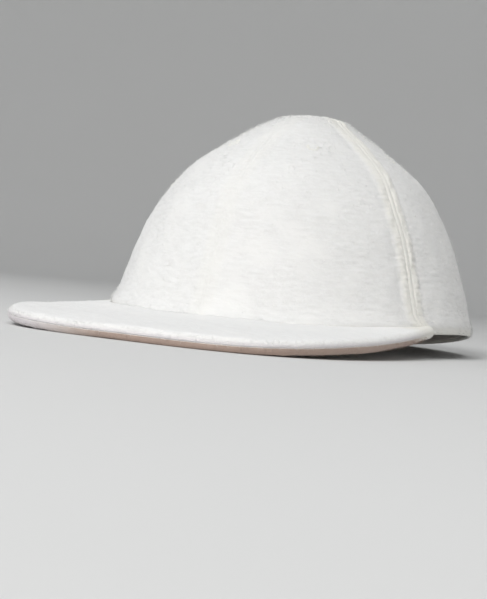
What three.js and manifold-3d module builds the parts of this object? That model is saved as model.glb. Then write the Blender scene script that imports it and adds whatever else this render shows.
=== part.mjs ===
// Six-panel peaked cap of thick napped wool, with a flat board peak.
// Millimetres. +Z is up, +X is the wearer's left and +Y the wearer's back. The cap rests on
// z = 0 on its back rim and on the front of its peak, centred on the origin.
import * as THREE from "three";
import { mergeVertices } from "three/addons/utils/BufferGeometryUtils.js";
import Module from "manifold-3d";

const wasm = await Module();
wasm.setup();

// Crown: sections from the rim up, as the outside's half width and its reach to the front and back
const crownSections = [
  { height: 0, half: 89.4, front: 104, back: 102 },
  { height: 5, half: 89, front: 103.5, back: 101.3 },
  { height: 10.5, half: 87, front: 99, back: 100 },
  { height: 25, half: 82.5, front: 95, back: 99.5 },
  { height: 44, half: 76, front: 89, back: 96 },
  { height: 61, half: 67.5, front: 82.5, back: 87 },
  { height: 77, half: 57, front: 67.5, back: 74 },
  { height: 89, half: 43.5, front: 51, back: 60 },
  { height: 98, half: 31.5, front: 38, back: 44 },
  { height: 104, half: 22.5, front: 25.5, back: 32 },
  { height: 108, half: 15.5, front: 13.5, back: 22.5 },
];
const apex = { height: 109.6, half: 0, front: -5, back: 5 };
const widestAt = 5; // how far behind the origin of the sections the crown is widest
const rimArch = 6.5; // the rim's rise at the sides
const rimDrop = 4.7; // the rim's fall at the back
const panelFlatness = 0.5; // how far a panel is a flat gore at the apex: 0 is round, 1 is flat

// Seams: their angle round the crown from the front, and the side seams' swing back at the rim
const sideSeam = 65.3;
const rearSeam = 121;
const seamSwing = 6;
const swingTop = 2.5; // in sections up from the rim

// Cloth
const wall = 2.2;
const hemExtra = 0.6; // the turned hem is that much thicker
const hemTop = 2; // in sections up from the rim
const gap = 0.3; // between neighbouring pieces
const sweatbandGap = 0.8;
const sweatbandWall = 1.2;
const sweatbandFrom = 0.3; // in sections up from the rim
const sweatbandTo = 3.3;

// Peak: its outline in plan, its fall and the thickness of its two halves
const peakLength = 67;
const peakHalfWidth = 87.4;
const peakWidestAt = -34;
const peakSquareness = 3.35; // exponent of the outline: 2 is an ellipse, more is squarer
const peakNose = 8.6; // depth of the round ends beside the crown
const peakCentre = -60; // the plate's rays run from its outline to this point on the middle line
const peakTopAtCrown = 5.3; // the upper face's height above the rim, at the front
const peakDroop = 3.8; // degrees
const peakBend = 1.6; // further fall at the front edge
const peakSideFall = 2.1;
const peakRightSag = 3.3; // the wearer's right side lies that much lower where it meets the crown
const peakTopThickness = 3;
const peakUnderThickness = 3.4;
const peakEdgeBand = 0.4; // upright part of each half's edge
const peakTopRound = 4; // how far in from the edge the rounding reaches
const peakUnderRound = 3;

// Sewn eyelets
const eyeletRadius = 3.5;
const eyeletBore = 1.3;
const eyeletHalfThickness = 1.5;
const eyeletSection = 7; // in sections up from the rim
const eyeletShare = 0.46; // of the way across a panel from its seam nearer the front

const restPress = 0.5; // how far the cloth is flattened where the cap rests

const ivory = { color: 0xece9df, roughness: 0.95, metalness: 0 };
const underside = { color: 0xded4cc, roughness: 0.95, metalness: 0 };
const band = { color: 0xd9cec6, roughness: 0.9, metalness: 0 };
const thread = { color: 0xe9e5d3, roughness: 0.8, metalness: 0 };

// Solids and cuts

function geometryOf(triangles) {
  const soup = new THREE.BufferGeometry().setFromPoints(triangles);
  return mergeVertices(soup, 1e-4);
}

function solidOf(geometry) {
  const plain = new THREE.BufferGeometry();
  plain.setAttribute("position", geometry.getAttribute("position"));
  plain.setIndex(geometry.index);
  const merged = mergeVertices(plain, 1e-4);
  const vertProperties = new Float32Array(merged.getAttribute("position").array);
  const triVerts = new Uint32Array(merged.index.array);
  return new wasm.Manifold(new wasm.Mesh({ numProp: 3, vertProperties, triVerts }));
}

function cut(geometry, ...tools) {
  let solid = solidOf(geometry);
  for (const tool of tools) {
    solid = solid.subtract(solidOf(tool));
  }
  const mesh = solid.getMesh();
  const result = new THREE.BufferGeometry();
  result.setAttribute("position", new THREE.BufferAttribute(mesh.vertProperties, mesh.numProp));
  result.setIndex(new THREE.BufferAttribute(mesh.triVerts, 1));
  return result;
}

function quad(triangles, a, b, c, d) {
  triangles.push(a, b, c, a, c, d);
}

// A wall between two grids of points, rows from the rim up and columns round the crown
function wallBetween(outside, inside, isRing) {
  const triangles = [];
  const rows = outside.length;
  const columns = outside[0].length;
  const steps = isRing ? columns : columns - 1;
  for (let j = 0; j < steps; j++) {
    const k = (j + 1) % columns;
    for (let i = 0; i + 1 < rows; i++) {
      quad(triangles, outside[i][j], outside[i][k], outside[i + 1][k], outside[i + 1][j]);
      quad(triangles, inside[i][j], inside[i + 1][j], inside[i + 1][k], inside[i][k]);
    }
    quad(triangles, outside[0][j], inside[0][j], inside[0][k], outside[0][k]);
    const top = rows - 1;
    quad(triangles, outside[top][j], outside[top][k], inside[top][k], inside[top][j]);
  }
  if (!isRing) {
    const end = columns - 1;
    for (let i = 0; i + 1 < rows; i++) {
      quad(triangles, outside[i][0], outside[i + 1][0], inside[i + 1][0], inside[i][0]);
      quad(triangles, outside[i][end], inside[i][end], inside[i + 1][end], outside[i + 1][end]);
    }
  }
  return geometryOf(triangles);
}

// Crown surface: a point is given by its angle from the front and its place up the sections

const lastSection = crownSections.length;

function section(place, column) {
  const top = crownSections[lastSection - 1];
  const past = {
    height: top.height,
    half: -top.half,
    front: 2 * apex.front - top.front,
    back: 2 * apex.back - top.back,
  };
  const rows = [...crownSections, apex, past];
  const i = Math.min(Math.floor(place), lastSection - 1);
  const u = place - i;
  const p1 = rows[i][column];
  const p2 = rows[i + 1][column];
  const p0 = i > 0 ? rows[i - 1][column] : 2 * p1 - p2;
  const p3 = rows[i + 2][column];
  const bend = -p0 + 3 * p1 - 3 * p2 + p3;
  const rise = 2 * p0 - 5 * p1 + 4 * p2 - p3;
  return 0.5 * (2 * p1 + (p2 - p0) * u + rise * u * u + bend * u * u * u);
}

function roundPoint(angle, place) {
  const c = Math.cos(angle);
  const s = Math.sin(angle);
  const reach = c > 0 ? section(place, "front") + widestAt : section(place, "back") - widestAt;
  const height = section(place, "height");
  const rim = rimArch * s * s - (c < 0 ? rimDrop * c * c : 0);
  return new THREE.Vector3(
    section(place, "half") * s,
    widestAt - reach * c,
    height + rim * (1 - height / apex.height),
  );
}

function seamAngle(seam, place) {
  const turn = Math.sign(seam.degrees);
  const swing = seam.swings ? seamSwing * Math.max(0, 1 - place / swingTop) ** 2 : 0;
  return THREE.MathUtils.degToRad(seam.degrees + turn * swing);
}

const seams = {
  front: { degrees: 0 },
  sideLeft: { degrees: sideSeam, swings: true },
  rearLeft: { degrees: rearSeam },
  backLeft: { degrees: 180 },
  sideRight: { degrees: -sideSeam, swings: true },
  rearRight: { degrees: -rearSeam },
  backRight: { degrees: -180 },
};

function panelPoint(from, to, across, place) {
  const start = seamAngle(from, place);
  const end = seamAngle(to, place);
  const chord = roundPoint(start, place).lerp(roundPoint(end, place), across);
  const flatness = panelFlatness * (place / lastSection) ** 3;
  return roundPoint(start + (end - start) * across, place).lerp(chord, flatness);
}

// Outward direction of the crown, level at the rim so that the hem's edge is flat below
function outward(angle, place) {
  const step = 0.02;
  const up = Math.min(place + step, lastSection - step);
  const down = Math.max(place - step, 0);
  const along = roundPoint(angle + step, up).sub(roundPoint(angle - step, up));
  const climb = roundPoint(angle, up).sub(roundPoint(angle, down));
  const normal = along.cross(climb).normalize();
  normal.z *= THREE.MathUtils.smoothstep(place, 0, hemTop);
  return normal.normalize();
}

function wallAt(place) {
  return wall + hemExtra * (1 - THREE.MathUtils.smoothstep(place, hemTop / 2, hemTop));
}

// Crown panels

const columnAngle = 6; // degrees of the crown for each column of a panel
const panelRows = 20;
const tipPlace = lastSection - 0.08; // the tip stops short of the apex, where six seams meet
const holeSides = 12;

function panelGrid(from, to, depth) {
  const columns = Math.round(Math.abs(to.degrees - from.degrees) / columnAngle);
  const rows = [];
  for (let i = 0; i <= panelRows; i++) {
    const place = (tipPlace * i) / panelRows;
    const width = panelPoint(from, to, 0, place).distanceTo(panelPoint(from, to, 1, place));
    const inset = gap / 2 / width;
    const row = [];
    for (let j = 0; j <= columns; j++) {
      const across = inset + ((1 - 2 * inset) * j) / columns;
      const start = seamAngle(from, place);
      const angle = start + (seamAngle(to, place) - start) * across;
      const point = panelPoint(from, to, across, place);
      row.push(point.addScaledVector(outward(angle, place), -depth(place)));
    }
    rows.push(row);
  }
  return rows;
}

function eyeletPlace(from, to) {
  const start = seamAngle(from, eyeletSection);
  const end = seamAngle(to, eyeletSection);
  const share = Math.abs(start) < Math.abs(end) ? eyeletShare : 1 - eyeletShare;
  const facing = outward(start + (end - start) * share, eyeletSection);
  const onPanel = panelPoint(from, to, share, eyeletSection);
  const position = onPanel.addScaledVector(facing, -wall / 2);
  const turn = new THREE.Quaternion().setFromUnitVectors(new THREE.Vector3(0, 1, 0), facing);
  return { position, turn };
}

function crownPanel(from, to) {
  const outside = panelGrid(from, to, () => 0);
  const inside = panelGrid(from, to, wallAt);
  const { position, turn } = eyeletPlace(from, to);
  const holeRadius = eyeletRadius + gap;
  const holeLength = 4 * wall;
  const hole = new THREE.CylinderGeometry(holeRadius, holeRadius, holeLength, holeSides);
  hole.applyQuaternion(turn).translate(position.x, position.y, position.z);
  return cut(wallBetween(outside, inside, false), hole, belowRest);
}

// One eyelet: a ring of thread sewn round the edge of the hole
function eyeletRing() {
  const middle = (eyeletRadius + eyeletBore) / 2;
  const half = (eyeletRadius - eyeletBore) / 2;
  const profile = [];
  const corners = 6;
  const ringSides = 10;
  for (let i = 0; i <= corners; i++) {
    const a = (2 * Math.PI * i) / corners;
    profile.push(new THREE.Vector2(middle + half * Math.cos(a), eyeletHalfThickness * Math.sin(a)));
  }
  return new THREE.LatheGeometry(profile, ringSides);
}

// Sweatband: a plain ring of cloth just inside the crown
function sweatband() {
  const columns = 48;
  const rows = 3;
  const grid = (depth) => {
    const points = [];
    for (let i = 0; i <= rows; i++) {
      const place = sweatbandFrom + ((sweatbandTo - sweatbandFrom) * i) / rows;
      const row = [];
      for (let j = 0; j < columns; j++) {
        const angle = (2 * Math.PI * j) / columns;
        const inset = wallAt(place) + sweatbandGap + depth;
        row.push(roundPoint(angle, place).addScaledVector(outward(angle, place), -inset));
      }
      points.push(row);
    }
    return points;
  };
  return wallBetween(grid(0), grid(sweatbandWall), true);
}

// Peak: two layers of one plate, cut to the crown's outside

const rimFront = crownSections[0].front;
const outlineSteps = 71;
const roundRings = 4; // rings across the rounded edge of a face
const faceRings = [0.12, 0.3, 0.5, 0.75]; // further rings, as shares of the way to the centre

function peakHeight(x, y) {
  const ahead = -y - rimFront;
  const fall = Math.tan(THREE.MathUtils.degToRad(peakDroop)) * ahead;
  const bend = (peakBend * ahead * Math.abs(ahead)) / peakLength ** 2;
  const side = (x / peakHalfWidth) ** 2;
  const sag = x < 0 ? (peakRightSag * side * ahead) / (peakWidestAt + rimFront) : 0;
  return peakTopAtCrown - fall - bend - peakSideFall * side + sag;
}

function peakOutline() {
  const power = 2 / peakSquareness;
  const points = [];
  const fineSteps = 360;
  for (let i = 0; i < fineSteps; i++) {
    const a = (2 * Math.PI * i) / fineSteps;
    const depth = Math.cos(a) > 0 ? peakWidestAt + rimFront + peakLength : peakNose;
    const x = peakHalfWidth * Math.sign(Math.sin(a)) * Math.abs(Math.sin(a)) ** power;
    const y = peakWidestAt - depth * Math.sign(Math.cos(a)) * Math.abs(Math.cos(a)) ** power;
    points.push(new THREE.Vector3(x, y, 0));
  }
  return new THREE.CatmullRomCurve3(points, true).getSpacedPoints(outlineSteps).slice(0, -1);
}

// Rings of one face of a plate, from its edge in to its centre. The edge is rounded by a quarter
// of an ellipse that reaches in by round and away from the face by drop.
function peakFace(outline, height, round, drop) {
  const centre = new THREE.Vector3(0, peakCentre, 0);
  const roundSteps = drop === 0 ? 1 : roundRings;
  const ring = (inset, fall) =>
    outline.map((edge) => {
      const ray = edge.clone().sub(centre);
      const distance = inset(ray.length());
      const point = edge.clone().addScaledVector(ray.normalize(), -distance);
      point.z = height(point.x, point.y) - fall;
      return point;
    });
  const rings = [];
  for (let i = 0; i <= roundSteps; i++) {
    const a = (Math.PI / 2) * (i / roundSteps);
    rings.push(ring(() => round * (1 - Math.cos(a)), drop * (1 - Math.sin(a))));
  }
  for (const share of faceRings) {
    rings.push(ring((length) => round + (length - round) * share, 0));
  }
  centre.z = height(centre.x, centre.y);
  return { rings, centre };
}

function peakPlate(upper, lower) {
  const triangles = [];
  const count = upper.rings[0].length;
  for (let j = 0; j < count; j++) {
    const k = (j + 1) % count;
    for (let i = 0; i + 1 < upper.rings.length; i++) {
      const [a, b] = [upper.rings[i], upper.rings[i + 1]];
      quad(triangles, a[j], a[k], b[k], b[j]);
    }
    for (let i = 0; i + 1 < lower.rings.length; i++) {
      const [a, b] = [lower.rings[i], lower.rings[i + 1]];
      quad(triangles, a[k], a[j], b[j], b[k]);
    }
    quad(triangles, lower.rings[0][j], lower.rings[0][k], upper.rings[0][k], upper.rings[0][j]);
    triangles.push(upper.rings.at(-1)[j], upper.rings.at(-1)[k], upper.centre);
    triangles.push(lower.rings.at(-1)[k], lower.rings.at(-1)[j], lower.centre);
  }
  return geometryOf(triangles);
}

// The crown's outside grown by the gap and carried on down below the rim
function crownCutter() {
  const columns = 90;
  const skirt = 20;
  const triangles = [];
  const rings = [];
  for (let i = 0; i <= 2 * panelRows; i++) {
    const place = (tipPlace * i) / (2 * panelRows);
    const ring = [];
    for (let j = 0; j < columns; j++) {
      const angle = (2 * Math.PI * j) / columns;
      ring.push(roundPoint(angle, place).addScaledVector(outward(angle, place), gap));
    }
    rings.push(ring);
  }
  rings.unshift(rings[0].map((point) => point.clone().setZ(point.z - skirt)));
  const top = new THREE.Vector3(0, widestAt, apex.height);
  const bottom = new THREE.Vector3(0, widestAt, -skirt);
  for (let j = 0; j < columns; j++) {
    const k = (j + 1) % columns;
    for (let i = 0; i + 1 < rings.length; i++) {
      quad(triangles, rings[i][j], rings[i][k], rings[i + 1][k], rings[i + 1][j]);
    }
    triangles.push(rings.at(-1)[j], rings.at(-1)[k], top);
    triangles.push(rings[0][k], rings[0][j], bottom);
  }
  return geometryOf(triangles);
}

const outline = peakOutline();
const layerHeight = (depth) => (x, y) => peakHeight(x, y) - depth;
const underDepth = peakTopThickness + gap;
const peakDepth = underDepth + peakUnderThickness;

function peakTop() {
  const upper = peakFace(outline, peakHeight, peakTopRound, peakTopThickness - peakEdgeBand);
  const lower = peakFace(outline, layerHeight(peakTopThickness), peakTopRound, 0);
  return cut(peakPlate(upper, lower), crownCutter());
}

function peakUnderside() {
  const upper = peakFace(outline, layerHeight(underDepth), peakUnderRound, 0);
  const rise = peakEdgeBand - peakUnderThickness;
  const lower = peakFace(outline, layerHeight(peakDepth), peakUnderRound, rise);
  return cut(peakPlate(upper, lower), crownCutter(), belowRest);
}

// Resting: the cap is tipped until its back rim and the front of its peak are level
const backFoot = roundPoint(Math.PI, 0);
const frontFootY = -(rimFront + peakLength - peakUnderRound);
const frontFootZ = peakHeight(0, frontFootY) - peakDepth;
const restTilt = Math.atan2(frontFootZ - backFoot.z, backFoot.y - frontFootY);
const restHeight = backFoot.z * Math.cos(restTilt) + backFoot.y * Math.sin(restTilt) + restPress;

// The space below the surface that the cap rests on, in the cap's own untipped frame
const floorSide = 400;
const floorDepth = 40;
const belowRest = new THREE.BoxGeometry(floorSide, floorSide, floorDepth);
belowRest.translate(0, 0, restHeight - floorDepth / 2);
belowRest.rotateX(-restTilt);

const cap = new THREE.Group();
cap.rotation.x = restTilt;
cap.position.z = -restHeight;

function addPiece(name, geometry, finish) {
  geometry.computeVertexNormals();
  const mesh = new THREE.Mesh(geometry, new THREE.MeshStandardMaterial(finish));
  mesh.name = name;
  cap.add(mesh);
  return mesh;
}

const panels = [
  { name: "front", side: "left", from: seams.front, to: seams.sideLeft },
  { name: "side", side: "left", from: seams.sideLeft, to: seams.rearLeft },
  { name: "back", side: "left", from: seams.rearLeft, to: seams.backLeft },
  { name: "front", side: "right", from: seams.sideRight, to: seams.front },
  { name: "side", side: "right", from: seams.rearRight, to: seams.sideRight },
  { name: "back", side: "right", from: seams.backRight, to: seams.rearRight },
];
for (const { name, side, from, to } of panels) {
  addPiece(`${name}_panel_${side}`, crownPanel(from, to), ivory);
  const { position, turn } = eyeletPlace(from, to);
  const ring = addPiece(`eyelet_${name}_${side}`, eyeletRing(), thread);
  ring.position.copy(position);
  ring.quaternion.copy(turn);
}
addPiece("sweatband", sweatband(), band);
addPiece("peak_top", peakTop(), ivory);
addPiece("peak_underside", peakUnderside(), underside);

// The origin is below the middle of the whole cap
cap.updateMatrixWorld(true);
const middle = new THREE.Box3().setFromObject(cap, true).getCenter(new THREE.Vector3());
cap.position.x -= middle.x;
cap.position.y -= middle.y;

const object = new THREE.Group();
object.add(cap);
export default object;
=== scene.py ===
import math

import bpy
import numpy as np
from mathutils import Matrix, Vector


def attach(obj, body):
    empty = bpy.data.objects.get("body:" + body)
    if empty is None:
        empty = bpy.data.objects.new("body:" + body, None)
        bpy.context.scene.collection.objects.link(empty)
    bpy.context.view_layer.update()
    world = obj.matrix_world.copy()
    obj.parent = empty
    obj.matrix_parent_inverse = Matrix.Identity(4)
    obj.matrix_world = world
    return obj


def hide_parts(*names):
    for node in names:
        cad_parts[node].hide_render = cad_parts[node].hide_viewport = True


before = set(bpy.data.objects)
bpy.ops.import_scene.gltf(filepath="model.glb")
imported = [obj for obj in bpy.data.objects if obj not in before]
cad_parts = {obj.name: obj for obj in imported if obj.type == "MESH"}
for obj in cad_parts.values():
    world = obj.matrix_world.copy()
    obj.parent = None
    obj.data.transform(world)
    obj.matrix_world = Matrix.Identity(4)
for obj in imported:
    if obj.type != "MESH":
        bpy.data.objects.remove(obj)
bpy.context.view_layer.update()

# Shapes are worked out in millimetres, in the cap's own frame: +Z is up, +X is the wearer's left and
# +Y the wearer's back. The cap stands a little tipped, on its back rim and the front of its peak.
TIP = math.radians(-0.5116)
CAP_PLACE = (0, 34.568, 5.1105)
MM = 0.001
SEED = 7


def to_world(points):
    """From the cap's frame in millimetres to the world in metres."""
    x, y, z = np.moveaxis(np.asarray(points, float), -1, 0)
    turned = (x, y * math.cos(TIP) - z * math.sin(TIP), y * math.sin(TIP) + z * math.cos(TIP))
    return (np.stack(turned, -1) + CAP_PLACE) * MM


# Crown surface: a point is given by its angle from the front and its place up the sections

SECTIONS = np.array([  # height, half width, reach to the front, reach to the back
    (0, 89.4, 104, 102), (5, 89, 103.5, 101.3), (10.5, 87, 99, 100), (25, 82.5, 95, 99.5),
    (44, 76, 89, 96), (61, 67.5, 82.5, 87), (77, 57, 67.5, 74), (89, 43.5, 51, 60),
    (98, 31.5, 38, 44), (104, 22.5, 25.5, 32), (108, 15.5, 13.5, 22.5),
], float)
APEX = np.array((109.6, 0, -5, 5))
LAST = len(SECTIONS)
WIDEST_AT = 5.0  # how far behind the sections' origin the crown is widest
RIM_ARCH = 6.5  # the rim's rise at the sides
RIM_DROP = 4.7  # the rim's fall at the back
FLATNESS = 0.5  # how far a panel is a flat gore at the apex: 0 is round, 1 is flat
SIDE_SEAM = 65.3  # degrees round the crown from the front
REAR_SEAM = 121
SEAM_SWING = 6  # degrees that the side seams swing back at the rim
SWING_TOP = 2.5  # in sections up from the rim
WALL = 2.2
HEM_WALL = 2.8
HEM_TOP = (1, 2)  # sections over which the hem thins to the wall
SQUARE_FROM = 2  # sections up from the rim, where the outward direction has turned from level to square
RIM_FRONT = SECTIONS[0, 2]
SLOPE_STEP = 0.02  # for slopes, in radians and in sections
APEX_MARGIN = 0.002
WAVE_STRETCH = (0.7, 1.5)  # least and most that a wave's size is of the size asked for
FEW_WAVES = 26
MANY_WAVES = 60


def section_rows():
    """The sections, with one more past each end so that the curve through them has its slopes."""
    last = SECTIONS[-1]
    past = (last[0], -last[1], 2 * APEX[2] - last[2], 2 * APEX[3] - last[3])
    return np.vstack([2 * SECTIONS[0] - SECTIONS[1], SECTIONS, APEX, past])


ROWS = section_rows()


def section(place):
    """Catmull-Rom through the sections: height, half width, front and back at a place."""
    i = np.clip(np.floor(place).astype(int), 0, LAST - 1)
    u = (place - i)[..., None]
    p0, p1, p2, p3 = (ROWS[i + k] for k in range(4))
    bend = -p0 + 3 * p1 - 3 * p2 + p3
    return 0.5 * (2 * p1 + (p2 - p0) * u + (2 * p0 - 5 * p1 + 4 * p2 - p3) * u**2 + bend * u**3)


def round_point(angle, place):
    """Points of the crown's round outside, before its panels are made flatter."""
    angle, place = np.broadcast_arrays(np.asarray(angle, float), np.asarray(place, float))
    height, half, front, back = np.moveaxis(section(place), -1, 0)
    c, s = np.cos(angle), np.sin(angle)
    reach = np.where(c > 0, front + WIDEST_AT, back - WIDEST_AT)
    rim = RIM_ARCH * s * s - np.where(c < 0, RIM_DROP * c * c, 0)
    lift = rim * (1 - height / APEX[0])
    return np.stack([half * s, WIDEST_AT - reach * c, height + lift], -1)


def smooth(value, low, high):
    t = np.clip((value - low) / (high - low), 0, 1)
    return t * t * (3 - 2 * t)


def swell(distance, middle, half, power=2):
    """A smooth hump of height 1. The higher the power, which is even, the flatter its top."""
    return np.exp(-(((distance - middle) / half) ** power))


def unit(v):
    return v / np.maximum(np.linalg.norm(v, axis=-1, keepdims=True), 1e-12)


def outward(angle, place):
    """Outward direction: level at the rim, and further up square to the crown's surface."""
    along = round_point(angle + SLOPE_STEP, place) - round_point(angle - SLOPE_STEP, place)
    high = round_point(angle, np.minimum(place + SLOPE_STEP, LAST - APEX_MARGIN))
    climb = high - round_point(angle, np.maximum(place - SLOPE_STEP, 0))
    normal = unit(np.cross(along, climb))
    normal[..., 2] *= smooth(place, 0, SQUARE_FROM)
    return unit(normal)


def wall_at(place):
    """Thickness of the crown's cloth, which is turned up double at the rim."""
    return WALL + (HEM_WALL - WALL) * (1 - smooth(place, *HEM_TOP))


def seam_angle(degrees, place):
    """The side seams swing back near the rim."""
    swing = SEAM_SWING if abs(degrees) == SIDE_SEAM else 0
    turn = degrees + math.copysign(swing, degrees) * np.maximum(0, 1 - place / SWING_TOP) ** 2
    return np.radians(turn)


def panel_point(from_deg, to_deg, across, place):
    """Points of a panel, and their angles, at shares of the way across it and places up it."""
    start = seam_angle(from_deg, place)
    end = seam_angle(to_deg, place)
    angle = start + (end - start) * across
    low, high = round_point(start, place), round_point(end, place)
    chord = low + (high - low) * across[..., None]
    flat = (FLATNESS * (place / LAST) ** 3)[..., None]
    return round_point(angle, place) * (1 - flat) + chord * flat, angle


def ripple(points, sizes, seed, waves=FEW_WAVES):
    """Smooth noise of about unit strength, from waves of the given sizes in millimetres."""
    rng = np.random.default_rng(SEED * 1000 + seed)
    total = np.zeros(points.shape[:-1])
    for _ in range(waves):
        direction = unit(rng.normal(size=points.shape[-1]))
        stretch = rng.uniform(*WAVE_STRETCH)
        k = direction * 2 * math.pi / (np.asarray(sizes) * stretch)
        total += np.sin(points @ k + rng.uniform(0, 2 * math.pi))
    return total * math.sqrt(2 / waves)


# Meshes


def make_piece(name, points, faces, uv=None, marks=None, above_floor=True, smooth_faces=None):
    """A mesh object from points in the cap's frame, lists of faces and values that vary over it.
    Faces past the first smooth_faces are shaded flat."""
    world = to_world(points)
    if above_floor:
        world[:, 2] = np.maximum(world[:, 2], 0)
    mesh = bpy.data.meshes.new(name)
    mesh.from_pydata(world.tolist(), [], [f for group in faces for f in np.asarray(group).tolist()])
    mesh.validate()
    is_smooth = np.ones(len(mesh.polygons), bool)
    is_smooth[smooth_faces:] = smooth_faces is None
    mesh.polygons.foreach_set("use_smooth", is_smooth)
    if uv is not None:
        corners = np.empty(len(mesh.loops), int)
        mesh.loops.foreach_get("vertex_index", corners)
        layer = mesh.uv_layers.new(name="cloth")
        layer.data.foreach_set("uv", (np.asarray(uv) * MM)[corners].ravel())
    for mark, values in (marks or {}).items():
        mesh.attributes.new(mark, "FLOAT", "POINT").data.foreach_set("value", np.ravel(values))
    mesh.update()
    piece = bpy.data.objects.new(name, mesh)
    bpy.context.scene.collection.objects.link(piece)
    return piece


def grid_faces(rows, columns, ring=False, closed=False, flip=False):
    """Quads of a grid of points. A ring's last column meets its first, and so do a closed grid's rows."""
    i, j = np.meshgrid(np.arange(rows - (not closed)), np.arange(columns - (not ring)), indexing="ij")
    below = (i + 1) % rows
    k = (j + 1) % columns
    quads = np.stack([i * columns + j, i * columns + k, below * columns + k, below * columns + j], -1)
    quads = quads.reshape(-1, 4)
    return quads[:, ::-1] if flip else quads


def zip_faces(first, second, first_at, second_at):
    """Triangles between two chains of points that run side by side."""
    faces = []
    i = j = 0
    while i + 1 < len(first) or j + 1 < len(second):
        takes_first = j + 1 >= len(second) or (
            i + 1 < len(first) and first_at[i + 1] <= second_at[j + 1]
        )
        if takes_first:
            faces.append((first[i], first[i + 1], second[j]))
            i += 1
        else:
            faces.append((first[i], second[j + 1], second[j]))
            j += 1
    return faces


def apply_modifiers(piece):
    graph = bpy.context.evaluated_depsgraph_get()
    graph.update()
    mesh = bpy.data.meshes.new_from_object(piece.evaluated_get(graph))
    piece.modifiers.clear()
    piece.data = mesh


# Materials. Scales of noise are in waves to the metre, and bumps are (strength, depth in mm)

WOOL_LIGHT = (0.875, 0.874, 0.868, 1)
WOOL_DARK = (0.785, 0.783, 0.773, 1)
WOOL_CREAM = (0.872, 0.857, 0.797, 1)
# Painted light: the peak's wool is a brighter copy of the crown's ivory wool, standing in for more light on
# the peak's upper face.
PEAK_PAINTED_BRIGHT_LIGHT = (0.95, 0.949, 0.943, 1)
PEAK_PAINTED_BRIGHT_DARK = (0.885, 0.883, 0.874, 1)
# Painted shade: a grey down the peak's rolled edge and along the underside's edge, and a warm brown of
# shade with reflected warm light along the underside's edge.
PAINTED_SHADE_GREY = (0.75, 0.71, 0.73, 1)
PAINTED_WARM_SHADE_BROWN = (0.475, 0.36, 0.305, 1)
UNDER_LIGHT = (0.84, 0.82, 0.795, 1)
UNDER_DARK = (0.75, 0.725, 0.70, 1)
# The sweatband's pinkish twill is its own colour, painted lighter to stand in for light reaching the inside
# of the cap.
BAND_LIGHT = (0.88, 0.83, 0.80, 1)
BAND_DARK = (0.78, 0.73, 0.70, 1)
THREAD_LIGHT = (0.88, 0.873, 0.835, 1)
THREAD_DARK = (0.80, 0.79, 0.745, 1)
# Tones that marks paint over the wool. The tint is the cloth's own cream, and along the crown's foot it is
# painted shade. The edge grey and the warm brown are painted shade. The nose is cream at the peak's ends.
MARK_TONES = (("tint", WOOL_CREAM), ("edge", PAINTED_SHADE_GREY), ("painted_warm_shade", PAINTED_WARM_SHADE_BROWN), ("nose", WOOL_CREAM))

STREAK_SCALE = (175, 560, 1)
STREAK_BUMP = (0.45, 0.6)
YARN_SCALE = (420, 1500, 1)
YARN_BUMP = (0.45, 0.3)
FELT_SCALE = 900
FELT_BUMP = (0.6, 0.3)
FUZZ_SCALE = 2600
FUZZ_BUMP = (0.5, 0.12)
CLOUD_SCALE = 45
CLOUD_CREAM = 0.12  # how far the clouds in the wool are cream
SHADE_RANGE = (0.55, 1.45)
CLOUD_RANGE = (0.45, 0.75)

TWILL_PITCH = 0.9
TWILL_SLANT = 52  # degrees
WEFT_TO_RIBS = 1.7
WAVE_RADIANS = 20  # that a wave texture turns by in each unit of its scale
WORN_SCALE = 70
WORN_RANGE = (0.4, 0.8)
RIB_RANGE = (0.1, 0.9)
RIB_BUMP = (0.35, 0.12)
WEFT_BUMP = (0.2, 0.08)
LINT_SCALE = 1800
LINT_BUMP = (0.4, 0.08)

STRAND_SCALE = 1500
STRAND_RANGE = (0.3, 0.7)
STRAND_BUMP = (0.4, 0.1)
WEAR_SCALE = 160
WEAR_RANGE = (0.45, 0.75)

MIX_INPUTS = (0, 6, 7)  # the colour mixing node's sockets for the share and the two colours
MIX_OUTPUT = 2


def put(tree, socket, value):
    """Sets a socket, or links it where the value is itself a socket."""
    if isinstance(value, bpy.types.NodeSocket):
        tree.links.new(value, socket)
    else:
        socket.default_value = value


def add_node(tree, kind, values=(), **settings):
    made = tree.nodes.new(kind)
    for key, value in settings.items():
        setattr(made, key, value)
    for key, value in dict(values).items():
        put(tree, made.inputs[key], value)
    return made


def mix(tree, share, low, high):
    """A mix of two colours or colour sockets by a share that varies over the surface."""
    made = add_node(tree, "ShaderNodeMix", data_type="RGBA")
    for index, value in zip(MIX_INPUTS, (share, low, high)):
        put(tree, made.inputs[index], value)
    return made.outputs[MIX_OUTPUT]


def noise(tree, vector, scale, detail=3.0, roughness=0.55, distortion=0.0):
    values = {"Vector": vector, "Scale": scale, "Detail": detail, "Roughness": roughness}
    values["Distortion"] = distortion
    return add_node(tree, "ShaderNodeTexNoise", values).outputs["Fac"]


def spread(tree, value, low, high):
    """Stretches a value's range from low..high to 0..1."""
    values = {"Value": value, "From Min": low, "From Max": high}
    return add_node(tree, "ShaderNodeMapRange", values, interpolation_type="SMOOTHSTEP").outputs[0]


def new_material(name, roughness, sheen, specular=0.25):
    material = bpy.data.materials.new(name)
    material.use_nodes = True
    shader = material.node_tree.nodes["Principled BSDF"]
    shader.inputs["Roughness"].default_value = roughness
    shader.inputs["Specular IOR Level"].default_value = specular
    shader.inputs["Sheen Weight"].default_value = sheen
    shader.inputs["Sheen Roughness"].default_value = 0.5
    return material, material.node_tree, shader


def add_bumps(tree, shader, layers):
    """Bumps from (height, strength, distance in mm), the broadest first."""
    normal = None
    for height, strength, distance in layers:
        values = {"Height": height, "Strength": strength, "Distance": distance * MM}
        if normal is not None:
            values["Normal"] = normal
        normal = add_node(tree, "ShaderNodeBump", values).outputs["Normal"]
    tree.links.new(normal, shader.inputs["Normal"])


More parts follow.
